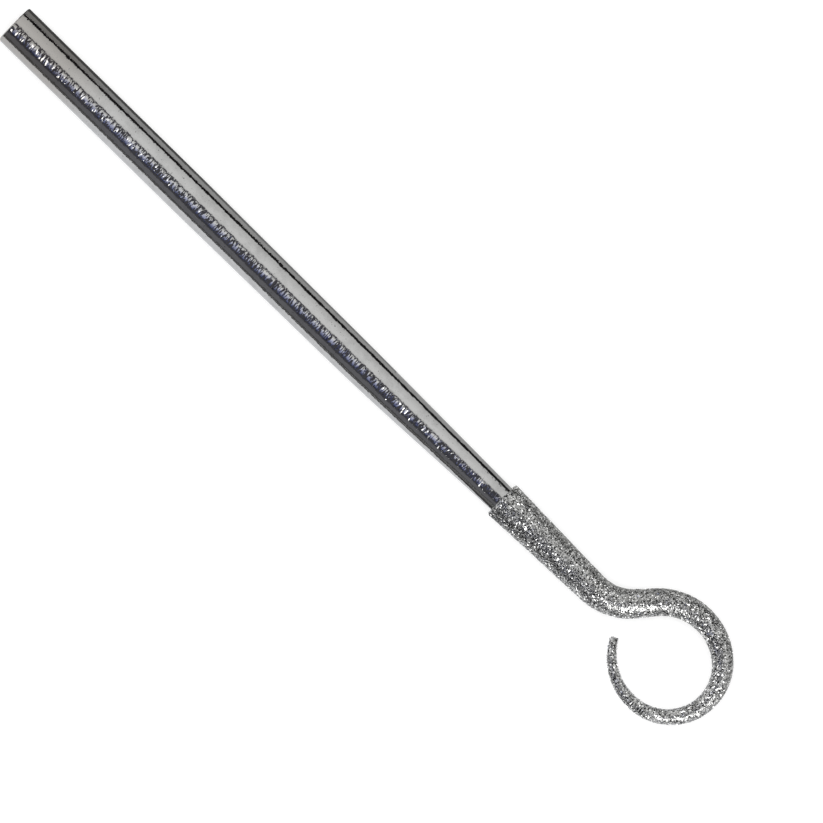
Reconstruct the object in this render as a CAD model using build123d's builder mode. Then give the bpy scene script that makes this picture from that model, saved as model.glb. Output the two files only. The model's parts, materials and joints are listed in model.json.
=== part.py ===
from build123d import *
import os
from math import atan, cos, degrees, radians, sin, sqrt

# Hook riffler: a round steel file whose end is bent into a ring-shaped hook, with an abrasive
# coat all round the hook. Millimetres. The origin is the middle of the square-cut end, +X runs
# along the shank to the hook, the hook lies in the XY plane and +Z is up.

os.makedirs("parts", exist_ok=True)

# Shank: a parallel grip, a slow taper to the waist and a quicker one to the neck. The quicker one is
# ground off more on one side, so the neck's middle stands off the grip's axis
grip_diameter = 8.0
grip_length = 44.6
waist_diameter = 7.35
slow_taper_length = 47.0
neck_diameter = 5.45
quick_taper_length = 33.5
neck_rise = 0.4
end_chamfer = 0.2

# Middle line of the hook, from the neck to the point of the core
straight_length = 23.1
bend_radius = 10.4
bend_angle = 48.7
crossing_length = 3.6
crown_radius = 11.5
crown_angle = 87.4
heel_radius = 9.8
heel_angle = 127.8
beak_radius = 11.4
beak_angle = 73.7

# Core: the steel inside the coat, which tapers evenly from the neck to its point
core_point_diameter = 0.54

# Bond: the metal layer round the core, thick at the neck and just deep enough for a grain at the point
bond_at_neck = 0.93
bond_under_grain = 0.08
point_cover = 0.5
rim_bevel = 0.3

# Grit: blocky crystals that stand on a corner, two thirds sunk in the bond
grain_edge = 0.32
grain_count = 180
grain_sunk_share = 0.67
grain_turn = 77
corner_up = (degrees(atan(sqrt(1 / 2))), -45, 0)
golden_angle = 180 * (3 - sqrt(5))

# Places along the shank, and radii
waist_place = grip_length + slow_taper_length
neck_place = waist_place + quick_taper_length
grip_radius = grip_diameter / 2
waist_radius = waist_diameter / 2
neck_radius = neck_diameter / 2
core_point_radius = core_point_diameter / 2

# A grain's height over its corners, and the bond that it needs
grain_height = grain_edge * sqrt(3)
grain_rise = (1 / 2 - grain_sunk_share) * grain_height
bond_at_point = grain_sunk_share * grain_height + bond_under_grain
bond_neck_radius = neck_radius + bond_at_neck
bond_point_radius = core_point_radius + bond_at_point

# Middle line of the hook: each stretch leaves the last one straight on
with BuildLine() as core_line:
    straight = Line((neck_place, neck_rise), (neck_place + straight_length, neck_rise))
    bend = JernArc(straight @ 1, straight % 1, bend_radius, bend_angle)
    crossing = Line(bend @ 1, bend @ 1 + (bend % 1) * crossing_length)
    crown = JernArc(crossing @ 1, crossing % 1, crown_radius, -crown_angle)
    heel = JernArc(crown @ 1, crown % 1, heel_radius, -heel_angle)
    beak = JernArc(heel @ 1, heel % 1, beak_radius, -beak_angle)

# The bond runs on past the point of the core and closes over it
with BuildLine() as bond_line:
    add(core_line.line)
    Line(beak @ 1, beak @ 1 + (beak % 1) * point_cover)

core_route = core_line.wire()
bond_route = bond_line.wire()


def across(route, share):
    """Plane square to a route, at a share of its length."""
    return Plane(origin=route @ share, x_dir=(0, 0, 1), z_dir=route % share)


# Steel blank: the turned shank and the bent core of the hook, one piece of steel
with BuildPart() as steel_blank:
    with BuildSketch(Plane.XY):
        with BuildLine():
            Polyline(
                (0, 0),
                (0, grip_radius - end_chamfer),
                (end_chamfer, grip_radius),
                (grip_length, grip_radius),
                (waist_place, waist_radius),
                (waist_place, 0),
                (0, 0),
            )
        make_face()
    revolve(axis=Axis.X)
    with BuildSketch(Plane(origin=(waist_place, 0, 0), x_dir=(0, 0, 1), z_dir=(1, 0, 0))):
        Circle(waist_radius)
    with BuildSketch(across(core_route, 0)):
        Circle(neck_radius)
    loft()
    with BuildSketch(across(core_route, 0)):
        Circle(neck_radius)
    with BuildSketch(across(core_route, 1)):
        Circle(core_point_radius)
    sweep(path=core_route, multisection=True)


def grain_place(number):
    """Where one grain sits: each takes an equal area of the bond, a golden angle on from the last."""
    area_share = (number + 1 / 2) / grain_count
    radius_squared = bond_neck_radius**2 - area_share * (bond_neck_radius**2 - bond_point_radius**2)
    lane_share = (bond_neck_radius - sqrt(radius_squared)) / (bond_neck_radius - bond_point_radius)
    lane_length = bond_route.length - 2 * grain_height
    route_share = (grain_height + lane_share * lane_length) / bond_route.length
    section = across(bond_route, route_share)
    angle = radians(number * golden_angle)
    outward = section.x_dir * cos(angle) + section.y_dir * sin(angle)
    bond_radius = bond_neck_radius + (bond_point_radius - bond_neck_radius) * route_share
    middle = section.origin + outward * (bond_radius + grain_rise)
    seat = Plane(origin=middle, x_dir=section.z_dir, z_dir=outward)
    turned = Location((0, 0, 0), (0, 0, number * grain_turn))
    return seat.location * turned * Location((0, 0, 0), corner_up)


# Abrasive grit: separate crystals all over the hook
with BuildPart() as abrasive_grit:
    with Locations(*[grain_place(number) for number in range(grain_count)]):
        Box(grain_edge, grain_edge, grain_edge)

# Bond layer: a tapering tube with a closed point, over the core and round the foot of every grain
with BuildPart() as bond_layer:
    with BuildSketch(across(bond_route, 0)):
        Circle(bond_neck_radius)
    with BuildSketch(across(bond_route, 1)):
        Circle(bond_point_radius)
    sweep(path=bond_route, multisection=True)
    chamfer(bond_layer.faces().filter_by(GeomType.PLANE).edges(), rim_bevel)
    add(steel_blank.part, mode=Mode.SUBTRACT)
    add(abrasive_grit.part, mode=Mode.SUBTRACT)

steel_blank.part.label = "steel_blank"
bond_layer.part.label = "bond_layer"
abrasive_grit.part.label = "abrasive_grit"

for piece in (steel_blank.part, bond_layer.part, abrasive_grit.part):
    export_step(piece, f"parts/{piece.label}.step")
    print(piece.label, len(piece.solids()), "solids", round(piece.volume, 1), "mm3")
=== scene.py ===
import json
from math import atan2, ceil, cos, hypot, pi, radians, sin, tan

import bmesh
import bpy
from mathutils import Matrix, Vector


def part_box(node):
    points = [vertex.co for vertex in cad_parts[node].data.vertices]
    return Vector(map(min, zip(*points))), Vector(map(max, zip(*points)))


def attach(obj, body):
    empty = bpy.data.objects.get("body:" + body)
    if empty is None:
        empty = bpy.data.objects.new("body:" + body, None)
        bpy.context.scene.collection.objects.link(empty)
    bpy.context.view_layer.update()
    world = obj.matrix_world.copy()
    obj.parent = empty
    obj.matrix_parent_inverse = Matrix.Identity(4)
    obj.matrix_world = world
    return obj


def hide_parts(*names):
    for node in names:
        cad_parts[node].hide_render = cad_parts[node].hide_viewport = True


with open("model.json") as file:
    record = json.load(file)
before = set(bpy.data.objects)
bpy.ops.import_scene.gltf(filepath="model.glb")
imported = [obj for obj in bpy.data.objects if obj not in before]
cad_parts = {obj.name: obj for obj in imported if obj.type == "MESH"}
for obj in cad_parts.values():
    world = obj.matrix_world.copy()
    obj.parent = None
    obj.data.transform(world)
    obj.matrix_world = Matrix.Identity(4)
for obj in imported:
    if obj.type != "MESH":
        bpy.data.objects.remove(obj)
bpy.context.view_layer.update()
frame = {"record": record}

bl_info = {
    "name": "Hook riffler",
    "version": (1, 0, 0),
    "blender": (4, 5, 0),
    "location": "3D View > Sidebar > Riffler",
    "description": "A hook riffler with a polished shank and a coat of abrasive crystals",
    "category": "Object",
}

MM = 0.001


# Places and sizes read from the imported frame

def mount(name):
    """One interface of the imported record."""
    return next(m for m in frame["record"]["mounts"] if m["name"] == name)


GRIP_RADIUS = mount("grip")["dims"]["r_mm"] * MM
NECK_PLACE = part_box("bond_layer")[0].x
FLOOR_LEVEL = -GRIP_RADIUS


# Sizes and colours that a user would change

def linear(hex_colour):
    """Linear red, green and blue of an sRGB hex colour."""
    parts = [int(hex_colour[i:i + 2], 16) / 255 for i in (1, 3, 5)]
    return [c / 12.92 if c <= 0.04045 else ((c + 0.055) / 1.055) ** 2.4 for c in parts]


def length_property(name, default, description):
    """A length in metres, shown in the scene's units."""
    return bpy.props.FloatProperty(
        name=name, default=default, description=description,
        precision=5, unit="LENGTH", subtype="DISTANCE",
    )


def angle_property(name, default_degrees, description):
    """An angle, kept in radians and shown in degrees."""
    return bpy.props.FloatProperty(
        name=name, default=radians(default_degrees), description=description,
        unit="ROTATION", subtype="ANGLE",
    )


def colour_property(name, default_hex, description):
    """A linear colour whose default is an sRGB hex value."""
    return bpy.props.FloatVectorProperty(
        name=name, default=linear(default_hex), description=description,
        min=0, max=1, size=3, subtype="COLOR",
    )


class RifflerShankSizes(bpy.types.PropertyGroup):
    """The ground shank, from its square-cut end to the neck."""

    end_chamfer: length_property("End chamfer", 0.15 * MM, "Broken edge round the square-cut end")
    grip_length: length_property("Grip length", 44.6 * MM, "Parallel part, from the end")
    waist_radius: length_property("Waist radius", 3.675 * MM, "Radius where the slow taper ends")
    quick_taper_length: length_property("Quick taper length", 33.5 * MM, "From the waist to the neck")
    knee_length: length_property("Knee length", 18 * MM, "Length over which one taper turns into the other")
    neck_radius: length_property("Neck radius", 2.725 * MM, "Radius where the coat starts")
    neck_rise: length_property("Neck rise", 0.4 * MM, "How far the neck's middle stands off the grip's axis")


class RifflerHookSizes(bpy.types.PropertyGroup):
    """The hook's middle line, and the steel core and the bond that follow it."""

    straight_length: length_property("Straight", 23.1 * MM, "Straight stretch after the neck")
    bend_radius: length_property("Bend radius", 10.4 * MM, "First bend, away from the shank's line")
    bend_angle: angle_property("Bend angle", 48.7, "Turn of the first bend")
    crossing_length: length_property("Crossing", 3.6 * MM, "Straight stretch between the two bends")
    crown_radius: length_property("Crown radius", 11.5 * MM, "First stretch of the ring")
    crown_angle: angle_property("Crown angle", 87.4, "Turn of the first stretch of the ring")
    heel_radius: length_property("Heel radius", 9.8 * MM, "Middle stretch of the ring")
    heel_angle: angle_property("Heel angle", 127.8, "Turn of the middle stretch of the ring")
    beak_radius: length_property("Beak radius", 11.4 * MM, "Last stretch of the ring")
    beak_angle: angle_property("Beak angle", 73.7, "Turn of the last stretch of the ring")
    point_cover: length_property("Point cover", 0.5 * MM, "Bond past the point of the core")
    core_point_radius: length_property("Core point radius", 0.27 * MM, "Radius of the steel at its point")
    bond_neck_radius: length_property("Bond neck radius", 3.655 * MM, "Radius of the bond where it starts")
    bond_point_radius: length_property("Bond point radius", 0.721 * MM, "Radius of the bond at its point")
    rim_bevel: length_property("Rim bevel", 0.12 * MM, "Bevel round both ends of the bond")


class RifflerGritSizes(bpy.types.PropertyGroup):
    """The abrasive crystals."""

    grain_size: length_property("Grain size", 0.39 * MM, "Width of a typical crystal")
    grain_spacing: length_property("Grain spacing", 0.34 * MM, "Least distance between two crystals")
    grain_sink: length_property("Grain sink", 0.045 * MM, "How deep a crystal's middle lies in the bond")
    grain_lean: angle_property("Grain lean", 11, "Most that a crystal leans from the surface")
    seed: bpy.props.IntProperty(name="Seed", default=7, description="Which random scatter is used")


class RifflerColours(bpy.types.PropertyGroup):
    """The colours of the three finishes and the floor."""

    steel: colour_property("Steel", "#cbcbca", "Polished tool steel")
    bond: colour_property("Bond", "#c6c6c4", "Plated metal between the crystals")
    crystal: colour_property("Crystal", "#f8f8f6", "Bright faces of the crystals")
    floor: colour_property("Floor", "#fbfbfb", "Paper floor")


PROPERTY_GROUPS = {
    "riffler_shank": RifflerShankSizes,
    "riffler_hook": RifflerHookSizes,
    "riffler_grit": RifflerGritSizes,
    "riffler_colours": RifflerColours,
}


# Finishes

def add_node(tree, kind, inputs=None, **settings):
    """Adds one node with its settings, and sets or links its inputs."""
    made = tree.nodes.new(kind)
    for name, value in settings.items():
        setattr(made, name, value)
    for socket, value in (inputs or {}).items():
        if isinstance(value, bpy.types.NodeSocket):
            tree.links.new(value, made.inputs[socket])
        else:
            made.inputs[socket].default_value = value
    return made


def empty_material(name):
    """A node material with no nodes yet."""
    material = bpy.data.materials.new(name)
    material.use_nodes = True
    material.node_tree.nodes.clear()
    return material


def darker(colour, share=1.0):
    """A share of a colour, with the alpha that a colour socket wants."""
    return (*[c * share for c in colour], 1)


# Where a mix node keeps its two colours and their mixture
MIX_A, MIX_B, MIXED = 6, 7, 2


def polished_steel(colour):
    """Tool steel, ground round and polished.

    The eye sees sharp bands of whatever is around it. Grinding has left short flats that run round the
    bar. They tip the surface along the bar only, so they leave the bands whole and glitter where a band
    is dark. Near the neck they tip it a little less. There are faint clouds of tarnish and a few small
    dark pits, and the end of the grip is a darker, warmer grey from handling.
    """
    material = empty_material("polished_tool_steel")
    tree = material.node_tree
    coordinates = add_node(tree, "ShaderNodeTexCoord")
    place = coordinates.outputs["Object"]

    along = add_node(tree, "ShaderNodeSeparateXYZ", {"Vector": place})

    flat_pitch = 0.19 * MM
    flat_length = 0.65 * MM
    most_tilt = 0.19
    neck_share = 0.86
    easing_start, easing_end = NECK_PLACE - 20 * MM, NECK_PLACE - 6 * MM
    round_the_bar = add_node(tree, "ShaderNodeMapping", {
        "Vector": place, "Scale": (1 / flat_pitch, 1 / flat_length, 1 / flat_length),
    })
    flats = add_node(tree, "ShaderNodeTexVoronoi", {"Vector": round_the_bar.outputs["Vector"], "Scale": 1.0})
    flat_tone = add_node(tree, "ShaderNodeSeparateColor", {"Color": flats.outputs["Color"]})
    tilt = add_node(tree, "ShaderNodeMapRange", {
        "Value": flat_tone.outputs["Red"], "To Min": -most_tilt, "To Max": most_tilt,
    })
    less_at_neck = add_node(tree, "ShaderNodeMapRange", {
        "Value": along.outputs["X"], "From Min": easing_start, "From Max": easing_end,
        "To Min": 1.0, "To Max": neck_share,
    })
    eased = add_node(tree, "ShaderNodeMath", {
        0: tilt.outputs["Result"], 1: less_at_neck.outputs["Result"],
    }, operation="MULTIPLY")
    tilt_along = add_node(tree, "ShaderNodeCombineXYZ", {"X": eased.outputs["Value"]})
    tipped = add_node(tree, "ShaderNodeVectorMath", {
        0: coordinates.outputs["Normal"], 1: tilt_along.outputs["Vector"],
    }, operation="ADD")
    facing = add_node(tree, "ShaderNodeVectorTransform", {
        "Vector": tipped.outputs["Vector"],
    }, vector_type="NORMAL", convert_from="OBJECT", convert_to="WORLD")

    ripple_size, ripple_height = 0.7 * MM, 0.025 * MM
    ripples = add_node(tree, "ShaderNodeTexNoise", {"Vector": place, "Scale": 1 / ripple_size, "Detail": 1.0})
    bump = add_node(tree, "ShaderNodeBump", {
        "Strength": 1.0, "Distance": ripple_height, "Height": ripples.outputs["Fac"],
        "Normal": facing.outputs["Vector"],
    })

    smear_size = 2.6 * MM
    smears = add_node(tree, "ShaderNodeTexNoise", {
        "Vector": place, "Scale": 1 / smear_size, "Detail": 4.0, "Roughness": 0.6,
    })
    roughness = add_node(tree, "ShaderNodeMapRange", {
        "Value": smears.outputs["Fac"], "From Min": 0.35, "From Max": 0.7, "To Min": 0.06, "To Max": 0.11,
    })
    tarnish = add_node(tree, "ShaderNodeMapRange", {
        "Value": smears.outputs["Fac"], "From Min": 0.45, "From Max": 0.75,
    })
    tarnished_share = 0.82
    clouded = add_node(tree, "ShaderNodeMix", {
        "Factor": tarnish.outputs["Result"], MIX_A: darker(colour), MIX_B: darker(colour, tarnished_share),
    }, data_type="RGBA")

    handled_length = 24 * MM
    handled_grey = linear("#b7b4b0")
    handled = add_node(tree, "ShaderNodeMapRange", {
        "Value": along.outputs["X"], "From Min": 0.5 * handled_length, "From Max": handled_length,
        "To Min": 1.0, "To Max": 0.0,
    })
    worn = add_node(tree, "ShaderNodeMix", {
        "Factor": handled.outputs["Result"], MIX_A: clouded.outputs[MIXED], MIX_B: darker(handled_grey),
    }, data_type="RGBA")

    pit_size, pit_share = 0.45 * MM, 0.55
    pits = add_node(tree, "ShaderNodeTexNoise", {"Vector": place, "Scale": 1 / pit_size, "Detail": 1.0})
    pitted = add_node(tree, "ShaderNodeMapRange", {
        "Value": pits.outputs["Fac"], "From Min": 0.70, "From Max": 0.77,
    })
    shade = add_node(tree, "ShaderNodeMix", {
        "Factor": pitted.outputs["Result"], MIX_A: worn.outputs[MIXED], MIX_B: darker(colour, pit_share),
    }, data_type="RGBA")

    surface = add_node(tree, "ShaderNodeBsdfPrincipled", {
        "Base Color": shade.outputs[MIXED], "Metallic": 1.0,
        "Roughness": roughness.outputs["Result"], "Normal": bump.outputs["Normal"],
    })
    add_node(tree, "ShaderNodeOutputMaterial", {"Surface": surface.outputs["BSDF"]})
    return material


def plated_bond(colour):
    """Nickel, plated up round the crystals.

    The eye sees a lumpy, light grey ground. Small near-black spots scattered over it are painted shade, for
    the deep shade in the gaps between the crystals.
    """
    material = empty_material("plated_nickel_bond")
    tree = material.node_tree
    place = add_node(tree, "ShaderNodeTexCoord").outputs["Object"]

    lump_size, lump_height = 0.25 * MM, 0.06 * MM
    lumps = add_node(tree, "ShaderNodeTexNoise", {"Vector": place, "Scale": 1 / lump_size, "Detail": 3.0})
    bump = add_node(tree, "ShaderNodeBump", {
        "Strength": 1.0, "Distance": lump_height, "Height": lumps.outputs["Fac"],
    })
    roughness = add_node(tree, "ShaderNodeMapRange", {
        "Value": lumps.outputs["Fac"], "From Min": 0.3, "From Max": 0.7, "To Min": 0.2, "To Max": 0.35,
    })

    stain_size, stained_share = 2.2 * MM, 0.75
    stain = add_node(tree, "ShaderNodeTexNoise", {"Vector": place, "Scale": 1 / stain_size, "Detail": 2.0})
    clean = add_node(tree, "ShaderNodeMapRange", {
        "Value": stain.outputs["Fac"], "From Min": 0.35, "From Max": 0.65,
    })
    ground = add_node(tree, "ShaderNodeMix", {
        "Factor": clean.outputs["Result"], MIX_A: darker(colour, stained_share), MIX_B: darker(colour),
    }, data_type="RGBA")

    # Painted shade: near-black spots that stand for the shade in the gaps between the crystals
    gap_shade_size, gap_shade_share = 0.3 * MM, 0.05
    gap_shade_noise = add_node(tree, "ShaderNodeTexNoise", {"Vector": place, "Scale": 1 / gap_shade_size, "Detail": 1.0})
    gap_shade_mask = add_node(tree, "ShaderNodeMapRange", {
        "Value": gap_shade_noise.outputs["Fac"], "From Min": 0.48, "From Max": 0.53,
    })
    shade = add_node(tree, "ShaderNodeMix", {
        "Factor": gap_shade_mask.outputs["Result"], MIX_A: ground.outputs[MIXED],
        MIX_B: darker(colour, gap_shade_share),
    }, data_type="RGBA")

    surface = add_node(tree, "ShaderNodeBsdfPrincipled", {
        "Base Color": shade.outputs[MIXED], "Metallic": 1.0,
        "Roughness": roughness.outputs["Result"], "Normal": bump.outputs["Normal"],
    })
    add_node(tree, "ShaderNodeOutputMaterial", {"Surface": surface.outputs["BSDF"]})
    return material


# The attribute in which the scatter keeps each crystal's tone
CRYSTAL_TONE = "tone"


def plated_crystal(colour):
    """Hard abrasive crystals with a skin of the bond's metal over them.

    The eye sees flat faces that flash white one by one, among others that stay dark. Each crystal has
    its own tone, which the scatter keeps with it.
    """
    material = empty_material("plated_abrasive_crystal")
    tree = material.node_tree
    darkest_share = 0.36
    tone = add_node(tree, "ShaderNodeAttribute", attribute_name=CRYSTAL_TONE).outputs["Fac"]
    shade = add_node(tree, "ShaderNodeMix", {
        "Factor": tone, MIX_A: darker(colour, darkest_share), MIX_B: darker(colour),
    }, data_type="RGBA")
    roughness = add_node(tree, "ShaderNodeMapRange", {"Value": tone, "To Min": 0.18, "To Max": 0.08})

    facet_size, facet_height = 0.28 * MM, 0.07 * MM
    place = add_node(tree, "ShaderNodeTexCoord").outputs["Object"]
    facets = add_node(tree, "ShaderNodeTexNoise", {"Vector": place, "Scale": 1 / facet_size, "Detail": 1.0})
    bump = add_node(tree, "ShaderNodeBump", {
        "Strength": 1.0, "Distance": facet_height, "Height": facets.outputs["Fac"],
    })
    surface = add_node(tree, "ShaderNodeBsdfPrincipled", {
        "Base Color": shade.outputs[MIXED], "Metallic": 1.0,
        "Roughness": roughness.outputs["Result"], "Normal": bump.outputs["Normal"],
    })
    add_node(tree, "ShaderNodeOutputMaterial", {"Surface": surface.outputs["BSDF"]})
    return material


# Modelling

# How finely the three bars are modelled: sides round them, and the distance between two rings on the hook
BLANK_SIDES, BOND_SIDES, SLEEVE_SIDES = 128, 64, 48
CORE_STEP, BOND_STEP = 1.5 * MM, 0.3 * MM

# Points nearer than this are one point
SAME_PLACE = 0.001 * MM


def start_alone():
    """Leaves edit mode and selects nothing, so that the next tool acts on the new piece only."""
    if bpy.context.mode != "OBJECT":
        bpy.ops.object.mode_set(mode="OBJECT")
    bpy.ops.object.select_all(action="DESELECT")


def middle_line(hook, rise, step, cover):
    """Stations along the hook's middle line: (distance from the neck, x, y, heading).

    With cover the line runs on past the core's point, to the point of the bond.
    """
    stretches = [
        (hook.straight_length, 0.0),
        (hook.bend_radius * hook.bend_angle, hook.bend_angle),
        (hook.crossing_length, 0.0),
        (hook.crown_radius * hook.crown_angle, -hook.crown_angle),
        (hook.heel_radius * hook.heel_angle, -hook.heel_angle),
        (hook.beak_radius * hook.beak_angle, -hook.beak_angle),
    ]
    if cover:
        stretches.append((hook.point_cover, 0.0))
    along, x, y, heading = 0.0, NECK_PLACE, rise, 0.0
    stations = [(along, x, y, heading)]
    for length, turn in stretches:
        count = ceil(length / step)
        part, angle = length / count, turn / count
        chord = part * (sin(angle / 2) / (angle / 2) if angle else 1)
        for _ in range(count):
            x += chord * cos(heading + angle / 2)
            y += chord * sin(heading + angle / 2)
            heading += angle
            along += part
            stations.append((along, x, y, heading))
    return stations


def settle_faces(piece):
    """Sorts a piece's faces by their vertices, because extruding leaves them in another order each run.

    The scatter draws its random places face by face, so it needs the same order every time.
    """
    shape = bmesh.new()
    shape.from_mesh(piece.data)
    count = len(shape.verts)

    def rank(face):
        numbers = [vertex.index for vertex in face.verts]
        return min(numbers) * count + max(numbers)

    shape.faces.sort(key=rank)
    shape.to_mesh(piece.data)
    shape.free()


def walk_bar(name, rings, sides, fill="NGON"):
    """Models a round bar as by hand: a disc that is extruded, turned and resized from ring to ring.

    Each ring is (x, y, heading, radius). With the fill NOTHING both ends stay open.
    """
    x, y, heading, radius = rings[0]
    start_alone()
    bpy.ops.mesh.primitive_circle_add(
        vertices=sides, radius=radius, fill_type=fill, location=(x, y, 0), rotation=(0, pi / 2, heading),
    )
    bar = bpy.context.object
    bar.name = name
    bpy.ops.object.transform_apply(location=True, rotation=True, scale=True)
    bpy.ops.object.mode_set(mode="EDIT")
    bpy.ops.mesh.select_all(action="SELECT")
    for to_x, to_y, to_heading, to_radius in rings[1:]:
        bpy.ops.mesh.extrude_region_move(TRANSFORM_OT_translate={"value": (to_x - x, to_y - y, 0)})
        middle = (to_x, to_y, 0)
        if to_heading != heading:
            # With no window this tool turns the other way, so the angle has the other sign.
            bpy.ops.transform.rotate(value=heading - to_heading, orient_axis="Z", center_override=middle)
        if to_radius != radius:
            size = to_radius / radius
            bpy.ops.transform.resize(value=(size, size, size), center_override=middle)
        x, y, heading, radius = to_x, to_y, to_heading, to_radius
    bpy.ops.mesh.select_all(action="SELECT")
    bpy.ops.mesh.remove_doubles(threshold=SAME_PLACE)
    bpy.ops.mesh.normals_make_consistent(inside=False)
    bpy.ops.object.mode_set(mode="OBJECT")
    settle_faces(bar)
    return bar


def smooth_below(piece, angle):
    """Smooth shading, but for the edges that are sharper than an angle."""
    start_alone()
    piece.select_set(True)
    bpy.context.view_layer.objects.active = piece
    bpy.ops.object.shade_smooth_by_angle(angle=angle)


def finish_piece(piece, material, replaced):
    """Gives a piece its finish and puts it on the frame in place of a CAD node."""
    piece.data.materials.clear()
    piece.data.materials.append(material)
    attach(piece, "root")
    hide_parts(replaced)


def blank_rings(shank, hook):
    """The shank from its end to the neck, and the core of the hook from there to its point.

    The waist is where the slow taper would meet the quick one. The knee rounds that corner, and from its
    start the shank's middle leaves the grip's axis.
    """
    waist_place = NECK_PLACE - shank.quick_taper_length
    knee_start = waist_place - shank.knee_length / 2
    slow = (GRIP_RADIUS - shank.waist_radius) / (waist_place - shank.grip_length)
    quick = (shank.waist_radius - shank.neck_radius) / shank.quick_taper_length
    rings = [
        (0.0, 0.0, 0.0, GRIP_RADIUS - shank.end_chamfer),
        (shank.end_chamfer, 0.0, 0.0, GRIP_RADIUS),
        (shank.grip_length, 0.0, 0.0, GRIP_RADIUS),
    ]
    knee_steps = 10
    for step in range(knee_steps + 1):
        into_knee = shank.knee_length * step / knee_steps
        x = knee_start + into_knee
        turned = into_knee ** 2 / (2 * shank.knee_length)
        radius = GRIP_RADIUS - slow * (x - shank.grip_length) - (quick - slow) * turned
        rings.append((x, shank.neck_rise * turned / shank.quick_taper_length, 0.0, radius))
    stations = middle_line(hook, shank.neck_rise, CORE_STEP, False)
    for along, x, y, heading in stations:
        share = along / stations[-1][0]
        radius = shank.neck_radius + (hook.core_point_radius - shank.neck_radius) * share
        rings.append((x, y, heading, radius))
    return rings


def bond_rings(hook, rise, lift=0.0):
    """The bond from its rim at the neck to its square-cut point, grown by `lift`."""
    stations = middle_line(hook, rise, BOND_STEP, True)
    length = stations[-1][0]
    drop = hook.bond_neck_radius - hook.bond_point_radius
    rings = []
    for along, x, y, heading in stations:
        radius = hook.bond_neck_radius - drop * along / length + lift
        if along in (0.0, length):
            radius -= hook.rim_bevel
        rings.append((x, y, heading, radius))
    return rings


class RIFFLER_OT_steel_blank(bpy.types.Operator):
    """Model the polished shank with the tapering core of the hook"""

    bl_idname = "riffler.steel_blank"
    bl_label = "Steel blank"
    bl_options = {"REGISTER", "UNDO"}

    def execute(self, context):
        scene = context.scene
        rings = blank_rings(scene.riffler_shank, scene.riffler_hook)
        piece = walk_bar("polished_blank", rings, BLANK_SIDES)
        smooth_below(piece, radians(20))
        finish_piece(piece, polished_steel(scene.riffler_colours.steel), "steel_blank")
        return {"FINISHED"}


class RIFFLER_OT_bond(bpy.types.Operator):
    """Model the metal ground that holds the crystals"""

    bl_idname = "riffler.bond"
    bl_label = "Bond"
    bl_options = {"REGISTER", "UNDO"}

    def execute(self, context):
        scene = context.scene
        rings = bond_rings(scene.riffler_hook, scene.riffler_shank.neck_rise)
        piece = walk_bar("bond_ground", rings, BOND_SIDES)
        smooth_below(piece, radians(35))
        finish_piece(piece, plated_bond(scene.riffler_colours.bond), "bond_layer")
        return {"FINISHED"}


# Crystals of about unit width: the block that each starts as, and the cuts that slope its sides, each a
# point and the direction of the side that goes
CRYSTALS = {
    "blocky_crystal": ((1.0, 0.95, 0.7), [
        ((0.15, 0.0, 0.35), (1.0, 0.2, 5.0)), ((-0.42, 0.1, 0.35), (-1.0, 0.5, 2.5)),
    ]),
    "long_crystal": ((1.25, 0.8, 0.66), [
        ((0.3, 0.1, 0.33), (1.0, 0.6, 6.0)), ((-0.5, -0.05, 0.33), (-0.9, -0.6, 2.5)),
    ]),
    "roof_crystal": ((1.05, 1.0, 0.68), [
        ((0.0, 0.1, 0.34), (0.15, 1.0, 6.0)), ((0.05, -0.12, 0.34), (-0.3, -1.0, 9.0)),
    ]),
}


def model_crystal(name, block, cuts):
    """One crystal: a block with its sides sloped by cuts."""
    start_alone()
    bpy.ops.mesh.primitive_cube_add(size=1, location=(0, 0, 0))
    crystal = bpy.context.object
    crystal.name = name
    bpy.ops.object.mode_set(mode="EDIT")
    bpy.ops.mesh.select_all(action="SELECT")
    bpy.ops.transform.resize(value=block)
    for point, direction in cuts:
        bpy.ops.mesh.select_all(action="SELECT")
        bpy.ops.mesh.bisect(plane_co=point, plane_no=direction, use_fill=True, clear_outer=True)
    bpy.ops.mesh.select_all(action="SELECT")
    bpy.ops.mesh.normals_make_consistent(inside=False)
    bpy.ops.object.mode_set(mode="OBJECT")
    return crystal


# Crystals tried on each square of the least distance between two. Far fewer fit, so that distance alone
# sets how dense the coat is.
TRIES_A_SQUARE = 3

# The smallest and the largest crystal, as shares of a typical one
SMALLEST_SHARE, LARGEST_SHARE = 0.75, 1.15


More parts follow.
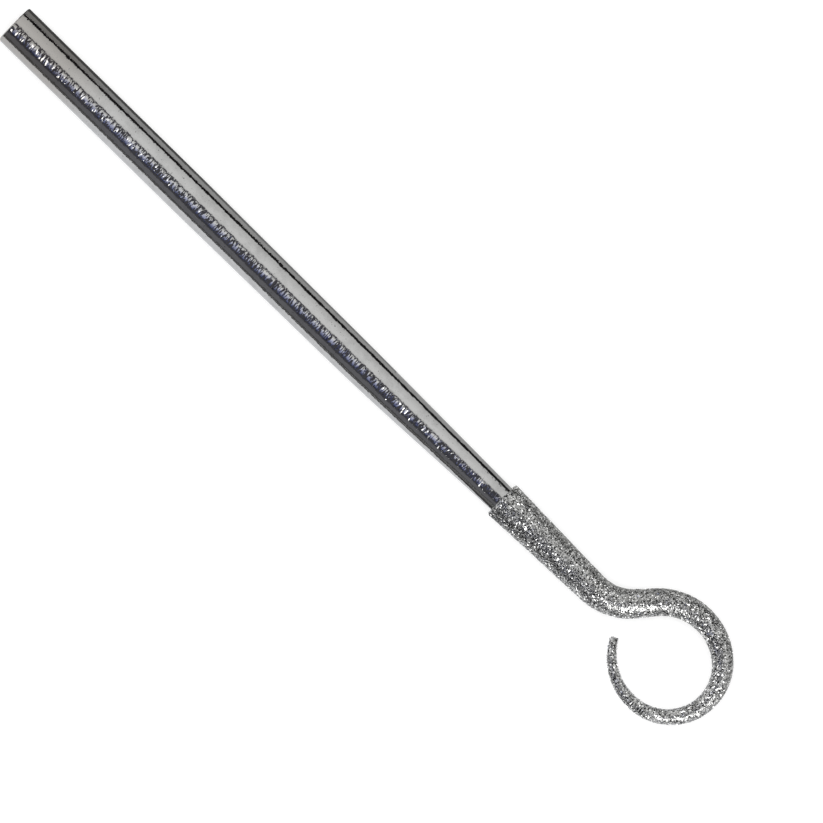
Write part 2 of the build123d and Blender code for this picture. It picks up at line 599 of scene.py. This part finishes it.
def scatter_tree(kinds, grit):
    """Geometry nodes that set crystals all over a surface, each with its own size, lean and tone."""
    tree = bpy.data.node_groups.new("scatter_crystals", "GeometryNodeTree")
    for in_out in ("INPUT", "OUTPUT"):
        tree.interface.new_socket("Geometry", in_out=in_out, socket_type="NodeSocketGeometry")
    start = add_node(tree, "NodeGroupInput")
    spots = add_node(tree, "GeometryNodeDistributePointsOnFaces", {
        "Mesh": start.outputs["Geometry"], "Distance Min": grit.grain_spacing,
        "Density Max": TRIES_A_SQUARE / grit.grain_spacing ** 2, "Seed": grit.seed,
    }, distribute_method="POISSON")
    choices = add_node(tree, "GeometryNodeCollectionInfo", {
        "Collection": kinds, "Separate Children": True, "Reset Children": True,
    })
    size = add_node(tree, "FunctionNodeRandomValue", {
        2: SMALLEST_SHARE * grit.grain_size, 3: LARGEST_SHARE * grit.grain_size, "Seed": grit.seed + 1,
    }, data_type="FLOAT")
    lean = add_node(tree, "FunctionNodeRandomValue", {
        0: (-grit.grain_lean, -grit.grain_lean, 0), 1: (grit.grain_lean, grit.grain_lean, 2 * pi),
        "Seed": grit.seed + 2,
    }, data_type="FLOAT_VECTOR")
    turned = add_node(tree, "FunctionNodeRotateRotation", {
        "Rotation": spots.outputs["Rotation"], "Rotate By": lean.outputs[0],
    }, rotation_space="LOCAL")
    placed = add_node(tree, "GeometryNodeInstanceOnPoints", {
        "Points": spots.outputs["Points"], "Instance": choices.outputs["Instances"], "Pick Instance": True,
        "Rotation": turned.outputs["Rotation"], "Scale": size.outputs[1],
    })
    tone = add_node(tree, "FunctionNodeRandomValue", {"Seed": grit.seed + 3}, data_type="FLOAT")
    toned = add_node(tree, "GeometryNodeStoreNamedAttribute", {
        "Geometry": placed.outputs["Instances"], "Name": CRYSTAL_TONE, "Value": tone.outputs[1],
    }, data_type="FLOAT", domain="INSTANCE")
    real = add_node(tree, "GeometryNodeRealizeInstances", {"Geometry": toned.outputs["Geometry"]})
    add_node(tree, "NodeGroupOutput", {"Geometry": real.outputs["Geometry"]})
    return tree


class RIFFLER_OT_grit(bpy.types.Operator):
    """Scatter abrasive crystals over the whole hook"""

    bl_idname = "riffler.grit"
    bl_label = "Grit"
    bl_options = {"REGISTER", "UNDO"}

    def execute(self, context):
        scene = context.scene
        grit, shank = scene.riffler_grit, scene.riffler_shank
        kinds = bpy.data.collections.new("crystal_kinds")
        scene.collection.children.link(kinds)
        crystals = [model_crystal(name, *shape) for name, shape in CRYSTALS.items()]
        for crystal in crystals:
            for home in list(crystal.users_collection):
                home.objects.unlink(crystal)
            kinds.objects.link(crystal)
        # An open sleeve on the bond carries the crystals: its rim goes in to the steel at the neck, and
        # it closes to a pinhole at the point.
        rings = bond_rings(scene.riffler_hook, shank.neck_rise, -grit.grain_sink)
        rings.insert(0, (*rings[0][:3], shank.neck_radius + grit.grain_size / 2))
        rings.append((*rings[-1][:3], grit.grain_size / 4))
        piece = walk_bar("crystal_coat", rings, SLEEVE_SIDES, "NOTHING")
        scatter = piece.modifiers.new("scatter", "NODES")
        scatter.node_group = scatter_tree(kinds, grit)
        bpy.ops.object.modifier_apply(modifier=scatter.name)
        for crystal in crystals:
            bpy.data.objects.remove(crystal)
        bpy.data.collections.remove(kinds)
        if len(piece.data.polygons) == 0:
            raise RuntimeError("no crystals were scattered")
        finish_piece(piece, plated_crystal(scene.riffler_colours.crystal), "abrasive_grit")
        return {"FINISHED"}


# Stage

# The photo: its side and the grip's width in pixels, the length of a pixel, the place at the photo's middle
# and the shank's slope in it
PHOTO_SIDE = 823
GRIP_PIXELS = 43.58
PHOTO_SCALE = 2 * GRIP_RADIUS / GRIP_PIXELS
PHOTO_CENTRE = (101.89 * MM, 0.29 * MM)
SHANK_SLOPE = radians(44.44)
CAMERA_HEIGHT = 2.5

# The tent: how far its cards are from the shank, and their length. The lamps hang inside the other cards
# and the ceiling behind them.
TENT_REACH = 0.6
TENT_LENGTH = 3.0
LAMP_REACH = 0.9 * TENT_REACH
CEILING_REACH = 1.1 * TENT_REACH

# From the floor to the lowest flag, and from flag to flag
FLAG_GAP = 0.1 * MM

FLOOR_SIDE = 12


def place_camera(scene):
    """A camera straight above the hook's plane, turned so that the shank lies on the picture's diagonal."""
    data = bpy.data.cameras.new("camera")
    camera = bpy.data.objects.new("camera", data)
    scene.collection.objects.link(camera)
    camera.location = (*PHOTO_CENTRE, CAMERA_HEIGHT)
    camera.rotation_euler = (0, 0, SHANK_SLOPE)
    data.lens = data.sensor_width * CAMERA_HEIGHT / (PHOTO_SIDE * PHOTO_SCALE)
    data.clip_end = 20
    scene.camera = camera


def fill_ramp(ramp, stops):
    """Gives a colour ramp its stops, each (place, hex colour)."""
    elements = ramp.color_ramp.elements
    elements.remove(elements[1])
    for number, (position, colour) in enumerate(stops):
        stop = elements.new(position) if number else elements[0]
        stop.position = position
        stop.color = darker(linear(colour))


WHITE = [(0.0, "#ffffff")]


def glow(name, strength, across=WHITE, along=WHITE):
    """A lit card: the stops run across it, over its depth, and along it, over its width."""
    material = empty_material(name)
    tree = material.node_tree
    place = add_node(tree, "ShaderNodeTexCoord")
    split = add_node(tree, "ShaderNodeSeparateXYZ", {"Vector": place.outputs["Object"]})
    depth_share = add_node(tree, "ShaderNodeMath", {0: split.outputs["Y"], 1: 0.5}, operation="ADD")
    width_share = add_node(tree, "ShaderNodeMath", {0: split.outputs["X"], 1: 0.5}, operation="ADD")
    depth_ramp = add_node(tree, "ShaderNodeValToRGB", {"Fac": depth_share.outputs["Value"]})
    width_ramp = add_node(tree, "ShaderNodeValToRGB", {"Fac": width_share.outputs["Value"]})
    fill_ramp(depth_ramp, across)
    fill_ramp(width_ramp, along)
    both = add_node(tree, "ShaderNodeMix", {
        "Factor": 1.0, MIX_A: depth_ramp.outputs["Color"], MIX_B: width_ramp.outputs["Color"],
    }, data_type="RGBA", blend_type="MULTIPLY")
    light = add_node(tree, "ShaderNodeEmission", {"Color": both.outputs[MIXED], "Strength": strength})
    add_node(tree, "ShaderNodeOutputMaterial", {"Surface": light.outputs["Emission"]})
    return material


def card(name, width, depth, place, turn, material):
    """A card that only polished metal shows: it casts no shadow and never blocks a view."""
    start_alone()
    bpy.ops.mesh.primitive_plane_add(size=1, location=place, rotation=turn)
    made = bpy.context.object
    made.name = name
    made.scale = (width, depth, 1)
    made.data.materials.append(material)
    made.visible_camera = False
    made.visible_diffuse = False
    made.visible_shadow = False
    made.visible_transmission = False
    made.visible_volume_scatter = False
    return made


def tent_card(low, high, material, reach=TENT_REACH, width=TENT_LENGTH, offset=0.0):
    """A card of the tent over the shank, from one angle off the vertical to another.

    Angles count towards the side of the hook's first bend, and so does the card's depth. The offset runs
    along the shank, from the photo's middle to the card's.
    """
    middle, half = radians((low + high) / 2), radians((high - low) / 2)
    place = (PHOTO_CENTRE[0] + offset, reach * sin(middle), reach * cos(middle))
    card(material.name, width, 2 * reach * tan(half), place, (-middle, 0, 0), material)


def floor_flag(start, end, depth, level, material):
    """A card just over the floor, to the right of the line from start to end. Its depth ends at that line."""
    run_x, run_y = end[0] - start[0], end[1] - start[1]
    length = hypot(run_x, run_y)
    place = (
        (start[0] + end[0]) / 2 + run_y / length * depth / 2,
        (start[1] + end[1]) / 2 - run_x / length * depth / 2,
        FLOOR_LEVEL + level * FLAG_GAP,
    )
    return card(material.name, length, depth, place, (0, 0, atan2(run_y, run_x)), material)


def cut_flag(flag, place, direction):
    """Cuts off what a flag has past a place in one direction."""
    start_alone()
    flag.select_set(True)
    bpy.context.view_layer.objects.active = flag
    bpy.ops.object.mode_set(mode="EDIT")
    bpy.ops.mesh.select_all(action="SELECT")
    bpy.ops.mesh.bisect(plane_co=(*place, 0), plane_no=(*direction, 0), clear_outer=True)
    bpy.ops.object.mode_set(mode="OBJECT")


def white_world(scene):
    """A white room for the camera and the metal, and a little dimmer for matt surfaces."""
    world = bpy.data.worlds.new("white_room")
    world.use_nodes = True
    tree = world.node_tree
    tree.nodes.clear()
    path = add_node(tree, "ShaderNodeLightPath")
    seen = add_node(tree, "ShaderNodeMath", {
        0: path.outputs["Is Camera Ray"], 1: path.outputs["Is Glossy Ray"],
    }, operation="MAXIMUM")
    seen = add_node(tree, "ShaderNodeMath", {
        0: seen.outputs["Value"], 1: path.outputs["Is Transmission Ray"],
    }, operation="MAXIMUM")
    matt_strength, seen_strength = 0.8, 1.0
    strength = add_node(tree, "ShaderNodeMapRange", {
        "Value": seen.outputs["Value"], "To Min": matt_strength, "To Max": seen_strength,
    })
    sky = add_node(tree, "ShaderNodeBackground", {
        "Color": (1, 1, 1, 1), "Strength": strength.outputs["Result"],
    })
    add_node(tree, "ShaderNodeOutputWorld", {"Surface": sky.outputs["Background"]})
    scene.world = world


def paper_floor(colour):
    """White paper: it stays white in the picture, a little greyer in the metal, and keeps a soft shadow."""
    material = empty_material("white_paper")
    tree = material.node_tree
    paper_share = 0.5
    picture_glow, metal_glow = 0.6, 0.3
    cool_white = linear("#f2f5ff")
    path = add_node(tree, "ShaderNodeLightPath")
    seen = add_node(tree, "ShaderNodeMath", {
        0: path.outputs["Is Camera Ray"], 1: path.outputs["Is Transmission Ray"],
    }, operation="MAXIMUM")
    seen_glow = add_node(tree, "ShaderNodeMath", {
        0: seen.outputs["Value"], 1: picture_glow,
    }, operation="MULTIPLY")
    all_glow = add_node(tree, "ShaderNodeMath", {
        0: path.outputs["Is Glossy Ray"], 1: metal_glow, 2: seen_glow.outputs["Value"],
    }, operation="MULTIPLY_ADD")
    paper = add_node(tree, "ShaderNodeBsdfDiffuse", {"Color": darker(colour, paper_share)})
    tint = add_node(tree, "ShaderNodeMix", {
        "Factor": path.outputs["Is Glossy Ray"], MIX_A: darker(colour), MIX_B: darker(cool_white),
    }, data_type="RGBA")
    lit = add_node(tree, "ShaderNodeEmission", {
        "Color": tint.outputs[MIXED], "Strength": all_glow.outputs["Value"],
    })
    both = add_node(tree, "ShaderNodeAddShader", {0: paper.outputs["BSDF"], 1: lit.outputs["Emission"]})
    add_node(tree, "ShaderNodeOutputMaterial", {"Surface": both.outputs["Shader"]})
    return material


def pitch_tent():
    """The bright and dark cards that the polished shank shows as long bands.

    The windows and the lamps stand off to the hook's end (near) and to the square-cut end (far). It is
    mostly the tipped flats that show them, as glitter.
    """
    panel_across = [
        (0.0, "#e0e0e0"), (0.09, "#fafafa"), (0.31, "#fafafa"), (0.71, "#e6e6e6"), (0.89, "#dadada"),
    ]
    tent_card(11, 89.8, glow("light_panel", 0.9, panel_across))
    tent_card(6, 11, glow("panel_tip", 0.6), width=1.0, offset=0.52)
    tent_card(-54, 11, glow("ceiling", 0.085, [(0.0, "#f0f0ff")]), reach=CEILING_REACH)
    tent_card(-80, -54, glow("dark_wall", 0.18, [(0.0, "#f6f6ff")]))
    tent_card(-89.8, -80, glow("wall_foot", 0.09))
    window_across = [
        (0.0, "#000000"), (0.2, "#687098"), (0.5, "#ccd0ec"), (0.75, "#ffffff"), (1.0, "#c0c0c0"),
    ]
    near_panes = [(0.0, "#4c5480"), (0.7, "#ffffff")]
    tent_card(-46, 4, glow("near_window", 0.95, window_across, near_panes), width=0.23, offset=0.293)
    tent_card(-46, 4, glow("far_window", 1.0, window_across), width=0.32, offset=-0.242)
    tent_card(-54, -6, glow("near_lamp", 4.2), reach=LAMP_REACH, width=0.50, offset=0.49)
    tent_card(-42, -12, glow("far_lamp", 3.0), reach=LAMP_REACH, width=0.50, offset=-0.53)


def standing_strip(name, start, end, distance, depth):
    """A dark strip that stands beside the file.

    Start and end are each a place along the shank and the height of the strip's middle there.
    """
    run, rise = end[0] - start[0], end[1] - start[1]
    place = ((start[0] + end[0]) / 2, distance, (start[1] + end[1]) / 2)
    card(name, hypot(run, rise), depth, place, (pi / 2, -atan2(rise, run), 0), glow(name, 0.01))


def lay_flags():
    """Cards beside the file that give the polished shank its grey and dark edges."""
    grey_across = [(0.0, "#303030"), (0.735, "#303030"), (0.755, "#ffffff")]
    grey_along = [(0.4, "#f4f4f4"), (0.53, "#eaeaea"), (0.58, "#cccccc")]
    grey = glow("grey_flag", 0.5, grey_across, grey_along)
    floor_flag((300 * MM, 3 * MM), (-200 * MM, 3 * MM), 600 * MM, 1, grey)
    floor_flag((130 * MM, 17 * MM), (57 * MM, 39 * MM), 400 * MM, 2, glow("far_flag", 0.01))
    standing_strip("shank_strip", (-60 * MM, 17 * MM), (88 * MM, 1.3 * MM), 50 * MM, 14 * MM)
    standing_strip("neck_strip", (86 * MM, 1 * MM), (134 * MM, 1.4 * MM), 50 * MM, 14 * MM)
    standing_strip("hook_strip", (134 * MM, 13 * MM), (260 * MM, 13 * MM), 60 * MM, 18 * MM)
    # Painted shadow: a dark card on the floor beside the shank, where the bar's own shadow falls; the
    # polished shank shows it as a dark line along its edge
    dark = glow("dark_flag", 0.25, along=[(0.5, "#a0a0a0"), (0.75, "#ffffff")])
    floor_flag((-20 * MM, 13.4 * MM), (95 * MM, 8 * MM), 9 * MM, 3, dark)
    floor_flag((-500 * MM, -62 * MM), (500 * MM, -62 * MM), 600 * MM, 1, glow("wall_flag", 0.09))
    fading = glow("fading_flag", 0.17, [(0.93, "#ffffff"), (0.96, "#9a9a9a")])
    lower = floor_flag((62 * MM, -54 * MM), (130 * MM, -1.5 * MM), 200 * MM, 2, fading)
    cut_flag(lower, (127 * MM, -5 * MM), (0.94, 0.34))


def hang_lamp(scene):
    """A soft lamp over the hook's plane, which lights matt surfaces and isn't seen in the metal."""
    data = bpy.data.lights.new("overhead_lamp", "AREA")
    data.shape = "DISK"
    data.size = 0.6
    data.energy = 4
    lamp = bpy.data.objects.new("overhead_lamp", data)
    lamp.location = (PHOTO_CENTRE[0], 0, 0.9)
    lamp.visible_camera = False
    lamp.visible_glossy = False
    scene.collection.objects.link(lamp)


class RIFFLER_OT_stage(bpy.types.Operator):
    """Set up the floor, the light tent and the camera"""

    bl_idname = "riffler.stage"
    bl_label = "Stage"
    bl_options = {"REGISTER", "UNDO"}

    def execute(self, context):
        scene = context.scene
        scene.view_settings.view_transform = "Standard"
        white_world(scene)
        start_alone()
        bpy.ops.mesh.primitive_plane_add(size=FLOOR_SIDE, location=(*PHOTO_CENTRE, FLOOR_LEVEL))
        floor = bpy.context.object
        floor.name = "paper_floor"
        floor.data.materials.append(paper_floor(scene.riffler_colours.floor))
        pitch_tent()
        lay_flags()
        hang_lamp(scene)
        place_camera(scene)
        return {"FINISHED"}


OPERATORS = [RIFFLER_OT_steel_blank, RIFFLER_OT_bond, RIFFLER_OT_grit, RIFFLER_OT_stage]


class RIFFLER_PT_panel(bpy.types.Panel):
    """Lists the sizes and colours, and the steps in the order that they are run"""

    bl_idname = "RIFFLER_PT_panel"
    bl_label = "Riffler"
    bl_space_type = "VIEW_3D"
    bl_region_type = "UI"
    bl_category = "Riffler"

    def draw(self, context):
        for name, group in PROPERTY_GROUPS.items():
            box = self.layout.box()
            for key in group.__annotations__:
                box.prop(getattr(context.scene, name), key)
        for operator in OPERATORS:
            self.layout.operator(operator.bl_idname)


CLASSES = [*PROPERTY_GROUPS.values(), *OPERATORS, RIFFLER_PT_panel]


def register():
    for cls in CLASSES:
        bpy.utils.register_class(cls)
    for name, group in PROPERTY_GROUPS.items():
        setattr(bpy.types.Scene, name, bpy.props.PointerProperty(type=group))


def unregister():
    for name in PROPERTY_GROUPS:
        delattr(bpy.types.Scene, name)
    for cls in reversed(CLASSES):
        bpy.utils.unregister_class(cls)


def main():
    """Runs every step in order."""
    register()
    bpy.ops.riffler.steel_blank()
    bpy.ops.riffler.bond()
    bpy.ops.riffler.grit()
    bpy.ops.riffler.stage()


if __name__ == "__main__":
    main()
